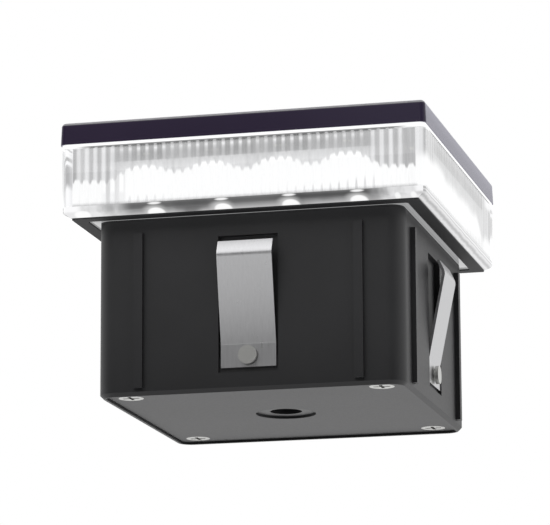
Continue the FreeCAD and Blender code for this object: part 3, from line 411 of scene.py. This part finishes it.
def rib_stripes(f, at, bent, aslant, drawn):
    """Painted upright stripes: a painted highlight line on the middle of each rib, and painted grey
    shade between them.
    """
    run, z = at.run, at.z
    depth = (STRIPES_TOP - z) / STRIPES_HIGH
    grey = f.grey(
        depth, (0.0, 0.12), (0.05, 0.16), (0.1, 0.34), (0.2, 0.36), (0.42, 0.29), (0.6, 0.30),
        (0.82, 0.35), (0.88, 0.58), (1.0, 0.66),
    )
    bright = f.grey(
        depth, (0.0, 0.38), (0.05, 0.46), (0.1, 0.68), (0.2, 0.88), (0.32, 0.62), (0.45, 0.49),
        (0.6, 0.46), (0.82, 0.49), (0.88, 0.64), (1.0, 0.63),
    )
    lower_part = z.rise(12.0, 11.7) * z.rise(11.7, 9.4)
    stripes = f.wash(
        f.mix(rib_line(bent), grey, bright),
        (drawn.rise(0.35, 0.65) * 0.3, 0.6),
        (lower_part * 0.32, 0.95),
    )
    wide_lines = bent.wave(RIB_STEP).rise(-0.8, 0.95)
    end_stripes = f.mix(wide_lines, cool(0.46), cool(0.82))
    stripes = f.mix(at.off.rise(26.5, 29.5) * 0.9, stripes, end_stripes)

    streaks = f.noise(900, detail=1, stretch=(1, 1, 0.04))
    left_end = run.rise(-32, -36)
    left_corner, right_corner = run.near(-37, 0.9), run.near(36, 1.5)
    edge_on = f.glancing().rise(0.5, 0.7)
    far_glint = aslant * run.rise(29, 33) * z.rise(12.9, 14.1)
    # painted shade and light over the stripes: darker streaks, paler and darker ends and corners,
    # shade where aslant, and a painted glint far to the right
    return f.wash(
        stripes,
        (streaks.rise(0.4, 0.7) * 0.22, 0.3),
        (left_end * 0.25, 0.8),
        (left_corner * 0.8, 0.36),
        (right_corner * 0.85, 0.38),
        (aslant * 0.16, 0.0),
        (edge_on * 0.85, 0.84),
        (far_glint * 0.9, 1.0),
    )


def white_humps(at, aslant, drawn):
    """Where the light fills the ribs: up to a hump at each LED, with a small tooth at each rib."""
    run, off = at.run, at.off
    between_leds = ((run - HUMPS_RIGHT).within(HALF_ROW).wave(LED_STEP) + 1) * 0.5
    valleys = between_leds**1.4 * (1.7 - aslant * 1.2) + aslant * 0.4
    corners = off.rise(25.5, 31.5) * (1.6 - run.rise(-27, -32) * 0.5 - run.rise(-33, -37) * 0.4)
    slope = run.rise(-26, -10) * 1.2 + run.rise(20, 28) * 3.6 - run.rise(27, 32) * 1.8
    teeth = rib_line(run) * (1 - aslant)
    drop = valleys + corners * (1 - aslant * 0.75) + slope * aslant
    edge = HUMPS_TOP - drop - teeth * 0.7 + drawn * 0.6
    blur = aslant * 2.2 + 1
    return ((edge - at.z) / blur).rise(-0.4, 0.4)


def grey_spikes(at, drawn):
    """Painted shade: grey spikes that stand up from the foot in the painted white, one beside each
    rib.
    """
    run = at.run
    beside_rib = (run + 0.45 - run.rise(-10, 0) * 0.85).wave(RIB_STEP).rise(0.1, 1.0)
    height = run.rise(18, 28) * 1.4 + 2.4
    spikes = (beside_rib - (at.z - SPIKES_FOOT) / height).rise(0.0, 0.45)
    right = run.rise(6, 15) * run.rise(29.8, 28.9) * 0.7
    left = run.rise(-16, -19) * run.rise(-27, -25) * 0.55
    return spikes * (drawn * 0.6 + 0.6) * (right + left + 0.12)


def grey_columns(at, bent):
    """Painted shade: grey columns in the painted white near a side's left end, between its ribs,
    with a grey foot.
    """
    place = at.run.near(-28.3, 3.2).rise(0.0, 0.3)
    between_ribs = rib_line(bent).rise(0.4, 0.0)
    return place * (between_ribs * 0.6).larger(at.z.rise(5.9, 4.9) * 0.4)


def rib_glow(f, at):
    """The light on the ribbed inner face: each rib a bright line on grey, then white in humps."""
    aslant = f.glancing().rise(0.08, 0.22)
    bent = as_bent(at.run)
    # drawn: noise that makes the painted light and shade uneven
    drawn = f.noise(330, detail=0, stretch=(1, 1, 0.03))
    grey = grey_spikes(at, drawn).larger(grey_columns(at, bent) * (1 - aslant))
    white = white_humps(at, aslant, drawn) * (1 - grey)
    glow = f.mix(white, rib_stripes(f, at, bent, aslant, drawn), WHITE)
    # painted shade just above the foot
    just_above_foot = at.z.rise(3.7, 2.3)
    return f.wash(glow, (just_above_foot, 0.3))


def foot_band(f, at, streaks):
    """Painted light and shade in the foot behind its painted LED spots: dark, with a pale lower
    edge and pale corners.
    """
    run, z = at.run, at.z
    band = f.grey(
        z / FOOT_HIGH,
        (0.1, 0.5), (0.2, 0.37), (0.36, 0.19), (0.42, 0.105), (0.65, 0.1), (0.83, 0.17),
    )
    blotches = f.noise(110, detail=2).rise(0.52, 0.3)
    dark_right = run.rise(4, 14) * z.near(1.7, 0.9)
    corners = (run - 1.5).size().rise(25, 31) * (streaks.rise(0.3, 0.6) * 0.5 + 0.5)
    tips = run.rise(-34.6, -36.4).larger(run.rise(36.8, 38.2)) * z.rise(0.9, 1.6)
    return f.wash(
        band, (blotches * 0.6, 0.03), (dark_right * 0.6, 0.03), (corners, 0.78), (tips * 0.9, 1.0),
    )


def oval(across, half_width, up, half_height):
    """1 in the middle of an oval, 0 on its edge and less outside it."""
    return 1 - (across / half_width) ** 2 - (up / half_height) ** 2


def painted_foot_spots(at):
    """Painted light in the foot: a halo, a spot and a glint for each LED, and some at the ends."""
    run, z = at.run, at.z
    along_row = (run - SPOTS_RIGHT + HALF_ROW).larger(0.0).smaller(2 * HALF_ROW)
    led = along_row.wrap(LED_STEP) - LED_STEP / 2
    halo = oval(led, 3.2, z - 0.8, 1.5).larger(0.0) ** 2 * 0.55
    spot = oval(led - 0.25, 2.3, z - 0.35, 1.05).rise(0.0, 0.6)
    glint = oval(led - 0.1, 1.8, z - 2.15, 0.36).rise(0.0, 0.9) * 0.9
    left_patch = oval(run + 35, 2.1, z - 0.65, 0.85).rise(0.0, 0.6)
    beads = ((at.off - 33.7).wave(3.4) * 0.8 - ((z - 0.7) / 0.8) ** 2).rise(0.0, 0.7)
    ends = left_patch.larger(beads * run.rise(31.8, 32.6)) * 0.85
    return spot.larger(glint).larger(halo).larger(ends)


def foot_glow(f, at):
    """The light in the solid foot, which turns to level lines where the side is far aslant."""
    streaks = f.noise(260, roughness=0.6, stretch=(1, 1, 0.4))
    aslant = f.glancing().rise(0.42, 0.66)
    level_lines = (at.z * 3 + streaks * 1.2).wave(2.0) * 0.5 + 0.5
    lines = f.mix(level_lines, cool(0.34), cool(0.62))
    band = f.mix(aslant, foot_band(f, at, streaks), lines)
    return f.mix(painted_foot_spots(at) * (1 - aslant), band, WHITE)


def end_glow(f, at):
    """Bands of light on an end wall, as they show through the side of the ring before it."""
    bands = f.grey(
        (at.z - BANDS_FOOT) / BANDS_HIGH,
        (0.28, 1.0), (0.38, 0.5), (0.42, 0.42), (0.72, 0.40), (0.765, 0.55),
        (0.8, 0.97), (0.845, 0.97), (0.875, 0.42), (0.92, 0.42), (0.96, 1.0),
    )
    return f.wash(bands, (at.off.rise(31, 26) * 0.5, 0.75))


def rim_glow(f, at):
    """Painted light on the top of the ring, with painted shade between the ribs."""
    dashes = f.mix(rib_line(at.run), cool(0.07), cool(0.40))
    return f.wash(dashes, (at.off.rise(32, 36) * 0.8, 0.9))


def lit_clear(f, glow, level=1.0, **sockets):
    """Clear plastic that shows light from behind it."""
    return f.principled(
        Base_Color=DARK_CLEAR, Emission_Color=glow, Emission_Strength=level, **sockets
    )


def clear_acrylic():
    """Clear moulded plastic. Its ribs carry light, and its solid foot shows the LEDs as spots."""
    f = Finish("clear_acrylic")
    at = f.side_point()
    out, z = at.out, at.z
    clear = f.principled(
        Base_Color=(0.965, 0.97, 0.975), Roughness=0.015, IOR=ACRYLIC_IOR, Transmission_Weight=1.0,
    )
    ribs = lit_clear(f, rib_glow(f, at), Roughness=0.3, Specular_IOR_Level=0.0)
    ends = lit_clear(f, end_glow(f, at), Roughness=0.3, Specular_IOR_Level=0.0)
    rim = lit_clear(f, rim_glow(f, at), Roughness=0.1, IOR=ACRYLIC_IOR)
    foot_light = f.mix(out.rise(38.0, 37.8), foot_glow(f, at), PALE)
    foot = lit_clear(f, foot_light, 0.95, Roughness=0.08, IOR=ACRYLIC_IOR)

    above_floor = z.above(RING_FLOOR + 0.02)
    inner_face = out.rise(RING_INSIDE + 0.8, RING_INSIDE + 0.7) * above_floor
    inner_face = inner_face * out.rise(RING_INSIDE - 0.7, RING_INSIDE - 0.6)
    on_rim = z.rise(RING_TOP - 0.35, RING_TOP - 0.2) * out.rise(38.8, 39.0)
    from_inside = f.node("ShaderNodeNewGeometry").out("Backfacing")
    on_end = from_inside * out.rise(39.0, 39.3) * at.off.rise(16, 20) * above_floor
    in_foot = z.rise(RING_FLOOR - 0.04, RING_FLOOR - 0.14)
    body = f.blend(inner_face * 0.94, clear, ribs)
    body = f.blend(on_rim * 0.85, body, rim)
    body = f.blend(on_end * 0.9, body, ends)
    f.done(f.blend(in_foot, body, foot))
    return f.material


# ---- the finishes of the other pieces ------------------------------------------------------


def lit_white(name, level):
    """White plastic that glows with the light it gets."""
    f = Finish(name)
    shader = f.principled(
        Base_Color=f.mix(f.noise(500, detail=2), PALE, PALER), Roughness=0.45,
        Emission_Color=WHITE, Emission_Strength=level,
    )
    f.done(shader)
    return f.material


def seal_white():
    """White silicone that carries the ring's light, shaded where it meets the ring."""
    f = Finish("white_silicone")
    at = f.side_point()
    lit = at.z.rise(RING_TOP + 0.15, RING_TOP + 0.31).larger(at.off.rise(33, 37))
    shader = f.principled(
        Base_Color=f.mix(f.noise(500, detail=2), PALE, PALER), Roughness=0.45,
        Emission_Color=f.mix(lit, (0.05, 0.05, 0.05), WHITE), Emission_Strength=0.85,
    )
    f.done(shader)
    return f.material


def reflector_white():
    """The white sloping wall behind the ring, lit by the LEDs above it in soft arches."""
    f = Finish("reflector_white")
    x, y, z = f.place()
    along = x.size().smaller(y.size())
    drop = CEILING - z
    valley = (along.smaller(LED_HALF_ROW).wave(LED_PITCH) + 1) * 0.5
    corners = along.rise(27 * MM, 32 * MM)
    edge = valley * (3.25 * MM) + corners * (1.2 * MM) + 1.0 * MM
    lit = (drop - edge).rise(-0.4 * MM, 0.7 * MM)
    shade = f.mix(drop.rise(1.2 * MM, 1.6 * MM), (0.3, 0.303, 0.306), (0.52, 0.525, 0.53))
    shader = f.principled(
        Base_Color=PALE, Roughness=0.45,
        Emission_Color=f.mix(lit, shade, WHITE), Emission_Strength=1.0,
    )
    f.done(shader)
    return f.material


def board_white():
    """White solder mask with a painted glow, brightest along the board's rim."""
    f = Finish("board_white")
    x, y, _ = f.place()
    rim = x.size().larger(y.size()).rise(35.0 * MM, 35.8 * MM)
    shader = f.principled(
        Base_Color=f.mix(f.noise(900, detail=2), PALE, PALER), Roughness=0.35,
        Emission_Color=f.mix(rim, (0.27, 0.272, 0.275), (0.36, 0.362, 0.365)),
        Emission_Strength=1.0,
    )
    f.done(shader)
    return f.material


def led_light():
    """The yellow fill of an LED, white where it is lit."""
    f = Finish("led_light")
    shader = f.principled(
        Base_Color=(0.9, 0.85, 0.5), Roughness=0.4, Emission_Color=WHITE, Emission_Strength=1.0,
    )
    f.done(shader)
    return f.material


def moulded(name, colour, roughness=0.45):
    """Moulded plastic with a fine spark-eroded texture."""
    f = Finish(name)
    fine = f.noise(3000, detail=2)
    cloud = f.noise(60, detail=2)
    darker = tuple(part * 0.8 for part in colour)
    shader = f.principled(
        Base_Color=f.mix(cloud.rise(0.3, 0.7), darker, colour), Roughness=roughness + fine * 0.12,
        Normal=f.bump(fine, 0.02 * MM, 0.6),
    )
    f.done(shader)
    return f.material


def metal(name, colour, roughness=0.28, per_metre=300, lines=(1, 1, 40)):
    """Bright metal with fine drawn lines."""
    f = Finish(name)
    grain = f.noise(per_metre, roughness=0.6, stretch=lines)
    darker = tuple(part * 0.75 for part in colour)
    shader = f.principled(
        Base_Color=f.mix(grain, darker, colour), Metallic=1.0, Roughness=roughness + grain * 0.18,
        Normal=f.bump(grain, 0.008 * MM, 0.4),
    )
    f.done(shader)
    return f.material


FINISHES = {
    "cover_coat": cover_coat(),
    "clear_acrylic": clear_acrylic(),
    "white_silicone": seal_white(),
    "black_rubber": moulded("black_rubber", (0.018, 0.018, 0.02), roughness=0.6),
    "white_reflector": reflector_white(),
    "black_nylon": moulded("black_nylon", (0.02, 0.02, 0.022), roughness=0.42),
    "white_board": board_white(),
    "green_board": moulded("green_board", (0.02, 0.13, 0.05), roughness=0.3),
    "thermal_pad": moulded("thermal_pad", (0.3, 0.32, 0.37), roughness=0.6),
    "led_package": lit_white("led_package", level=0.25),
    "led_phosphor": led_light(),
    "zinc_screw": metal("zinc_screw", (0.62, 0.62, 0.6)),
    "spring_steel": metal(
        "spring_steel", (0.6, 0.6, 0.61), roughness=0.22, per_metre=160, lines=(12, 12, 0.6),
    ),
    "socket_white": moulded("socket_white", (0.75, 0.72, 0.62)),
    "red_insulation": moulded("red_insulation", (0.45, 0.015, 0.01)),
    "black_insulation": moulded("black_insulation", (0.02, 0.02, 0.02)),
    "component_black": moulded("component_black", (0.02, 0.02, 0.022), roughness=0.35),
    "capacitor_sleeve": moulded("capacitor_sleeve", (0.015, 0.025, 0.08), roughness=0.3),
    "ferrite": moulded("ferrite", (0.05, 0.05, 0.05), roughness=0.55),
    "copper_winding": metal(
        "copper_winding", (0.75, 0.33, 0.14), roughness=0.3, lines=(1, 1, 8),
    ),
    "contact_metal": metal("contact_metal", (0.8, 0.66, 0.36)),
}


# ---- the clear ring ------------------------------------------------------------------------


def rib_profile():
    """Points along one side: (how far along it from its middle, how far the rib stands in)."""
    centre_depth = RIB_RADIUS - RIB_PROUD
    half_rib = math.sqrt(RIB_RADIUS**2 - centre_depth**2)
    steps = 8
    points = []
    for index in range(RIB_COUNT):
        middle = (index - (RIB_COUNT - 1) / 2) * RIB_PITCH
        for step in range(steps + 1):
            across = half_rib * math.cos(math.pi * (1 - step / steps))
            proud = math.sqrt(max(RIB_RADIUS**2 - across**2, 0)) - centre_depth
            points.append((middle + across, max(proud, 0.0)))
    return points


RIBS = rib_profile()
RUN = RIBS[-1][0]


def square_loop(half, corner, z, ribbed=False):
    """A closed loop of points round a rounded square, with as many points as any other loop."""
    corner_steps = 8
    flat = half - corner
    run = min(flat, RUN)
    side = []
    for across, proud in RIBS:
        inward = proud if ribbed else 0.0
        side.append((across / RUN * run, -half + inward))
    for step in range(corner_steps + 1):
        angle = -math.pi / 2 + math.pi / 2 * step / corner_steps
        side.append((flat + corner * math.cos(angle), -flat + corner * math.sin(angle)))
    points = []
    for quarter in range(4):
        turn = Matrix.Rotation(math.pi / 2 * quarter, 4, "Z")
        points += [turn @ Vector((x, y, z)) for x, y in side]
    return points


def mesh_from_loops(name, loops):
    """A ring of quads between loops of equal length, the last joined to the first."""
    sharp = math.radians(35)
    count = len(loops[0])
    points = [tuple(point) for loop in loops for point in loop]
    faces = []
    for row in range(len(loops)):
        here, there = row * count, (row + 1) % len(loops) * count
        for index in range(count):
            after = (index + 1) % count
            faces.append((here + index, here + after, there + after, there + index))
    mesh = bpy.data.meshes.new(name)
    mesh.from_pydata(points, [], faces)
    mesh.shade_smooth()
    mesh.set_sharp_from_angle(angle=sharp)
    piece = bpy.data.objects.new(name, mesh)
    bpy.context.scene.collection.objects.link(piece)
    return piece


def clear_ring():
    """The clear ring: a chamfered foot, upright walls and half-round ribs inside."""
    opening, opening_corner = 31 * MM, 3.0 * MM
    foot, foot_corner = 38.1 * MM, 0.6 * MM
    inside_corner = 0.6 * MM
    corner = 1.5 * MM
    gap = 0.02 * MM
    base, floor_top, top = LENS_LOW + gap, LENS_FLOOR - gap, LENS_TOP - gap
    rib_top = LENS_TOP - 0.15 * MM
    # half width, corner radius and height, from the opening out and up, each edge a little round
    outside = [
        (opening, opening_corner, base),
        (foot - 0.1 * MM, foot_corner, base),
        (foot, foot_corner, base + 0.02 * MM),
        (foot + 0.1 * MM, foot_corner + 0.05 * MM, base + 0.07 * MM),
        (LENS_FOOT_HALF - 0.22 * MM, corner - 0.1 * MM, CHAMFER_TOP - 0.15 * MM),
        (LENS_FOOT_HALF - 0.09 * MM, corner - 0.05 * MM, CHAMFER_TOP - 0.05 * MM),
        (LENS_FOOT_HALF - 0.02 * MM, corner, CHAMFER_TOP + 0.08 * MM),
        (LENS_FOOT_HALF, corner, CHAMFER_TOP + 0.25 * MM),
        (LENS_HALF - 0.005 * MM, corner, top - 0.12 * MM),
        (LENS_HALF - 0.04 * MM, corner - 0.05 * MM, top - 0.03 * MM),
        (LENS_HALF - 0.12 * MM, corner - 0.1 * MM, top),
        (LENS_INSIDE, inside_corner, top),
        (LENS_INSIDE, inside_corner, rib_top),
    ]
    loops = [square_loop(*shape) for shape in outside]
    loops += [square_loop(LENS_INSIDE, inside_corner, z, ribbed=True) for z in (rib_top, floor_top)]
    loops.append(square_loop(opening, opening_corner, floor_top))
    piece = mesh_from_loops("clear_ring", loops)
    piece.data.materials.append(FINISHES["clear_acrylic"])
    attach(piece, "housing")
    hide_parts("lens_ring")
    return piece


# ---- the carried-over pieces ---------------------------------------------------------------


def dress_nodes():
    """Gives each solid the finish of its slot."""
    slots = {entry["node"]: entry["material_slot"] for entry in frame["record"]["subparts"]}
    for name, piece in nodes.items():
        piece.data.materials.clear()
        piece.data.materials.append(FINISHES[slots[name]])


# ---- camera, light and stage ---------------------------------------------------------------


def camera():
    """A long lens, below the light and a little to its right."""
    yaw, lift, roll = (math.radians(angle) for angle in (13.6525, -12.4845, -0.3139))
    pan, tilt = (math.radians(angle) for angle in (0.1686, -0.2589))
    distance = 0.7675
    picture_px, lens_px = 550, 3462
    sensor = 36.0
    back = Vector(
        (math.sin(yaw) * math.cos(lift), -math.cos(yaw) * math.cos(lift), math.sin(lift))
    )
    forward = -back
    right = forward.cross(Vector((0, 0, 1))).normalized()
    up = right.cross(forward)
    right, up = (
        right * math.cos(roll) + up * math.sin(roll),
        up * math.cos(roll) - right * math.sin(roll),
    )
    aim = Matrix.Rotation(tilt, 3, right) @ Matrix.Rotation(pan, 3, up)
    right, up, forward = (aim @ axis for axis in (right, up, forward))
    data = bpy.data.cameras.new("camera")
    data.sensor_width = sensor
    data.lens = lens_px / picture_px * sensor
    data.clip_start = 0.05
    data.clip_end = 50
    eye = bpy.data.objects.new("camera", data)
    turn = Matrix((right, up, -forward)).transposed().to_4x4()
    eye.matrix_world = Matrix.Translation(back * distance) @ turn
    bpy.context.scene.collection.objects.link(eye)
    bpy.context.scene.camera = eye


def world():
    """A white studio, dimmer in front of the light, and softer as a light than it looks."""
    studio = bpy.data.worlds.new("studio")
    bpy.context.scene.world = studio
    studio.use_nodes = True
    w = Wiring(studio.node_tree, "ShaderNodeOutputWorld")
    path = w.node("ShaderNodeLightPath")
    seen = path.out("Is Camera Ray").larger(path.out("Is Transmission Ray"))
    ray = w.node("ShaderNodeTexCoord").out("Generated")
    ahead = w.node("ShaderNodeSeparateXYZ", None, (ray,)).out("Y")
    dimmed = ahead.rise(-0.85, 0.1) * 0.8 + 0.2
    softened = path.out("Is Glossy Ray") * 0.4 + 0.6
    level = seen.larger(dimmed * softened)
    back = w.node("ShaderNodeBackground", None, {"Color": (1, 1, 1, 1), "Strength": level})
    w.done(back.out())


def lamp(name, place, size, watts):
    """A square lamp that faces the light."""
    data = bpy.data.lights.new(name, "AREA")
    data.shape = "SQUARE"
    data.size = size
    data.energy = watts
    piece = bpy.data.objects.new(name, data)
    piece.location = place
    piece.rotation_mode = "QUATERNION"
    piece.rotation_quaternion = (-Vector(place)).to_track_quat("-Z", "Y")
    bpy.context.scene.collection.objects.link(piece)


def floor():
    """A pale floor, seen only from above, that lets light through below the part."""
    f = Finish("floor")
    x, y, _ = f.place()
    from_axis = (x * x + y * y) ** 0.5
    white = f.node("ShaderNodeEmission", None, {"Strength": 1.0}).out()
    pale = f.node("ShaderNodeBsdfDiffuse", None, {"Color": (0.92, 0.92, 0.92, 1.0)}).out()
    clear = f.node("ShaderNodeBsdfTransparent").out()
    seen = f.node("ShaderNodeLightPath").out("Is Camera Ray")
    from_below = f.node("ShaderNodeNewGeometry").out("Backfacing")
    open_middle = (1 - seen) * from_axis.rise(0.12, 0.06)
    surface = f.blend(from_axis.rise(0.05, 0.21), pale, white)
    f.done(f.blend(from_below.larger(open_middle), surface, clear))
    half = 3.0
    clearance = 0.3 * MM
    height = cad_box[0].z - clearance
    mesh = bpy.data.meshes.new("floor")
    corners = [(-half, -half), (half, -half), (half, half), (-half, half)]
    mesh.from_pydata([(a, b, height) for a, b in corners], [], [(0, 1, 2, 3)])
    mesh.materials.append(f.material)
    piece = bpy.data.objects.new("floor", mesh)
    bpy.context.scene.collection.objects.link(piece)


camera()
world()
floor()
lamp("key", place=(-0.1, -0.5, 0.55), size=0.7, watts=2.0)
dress_nodes()
clear_ring()

bpy.context.scene.view_settings.view_transform = "Standard"
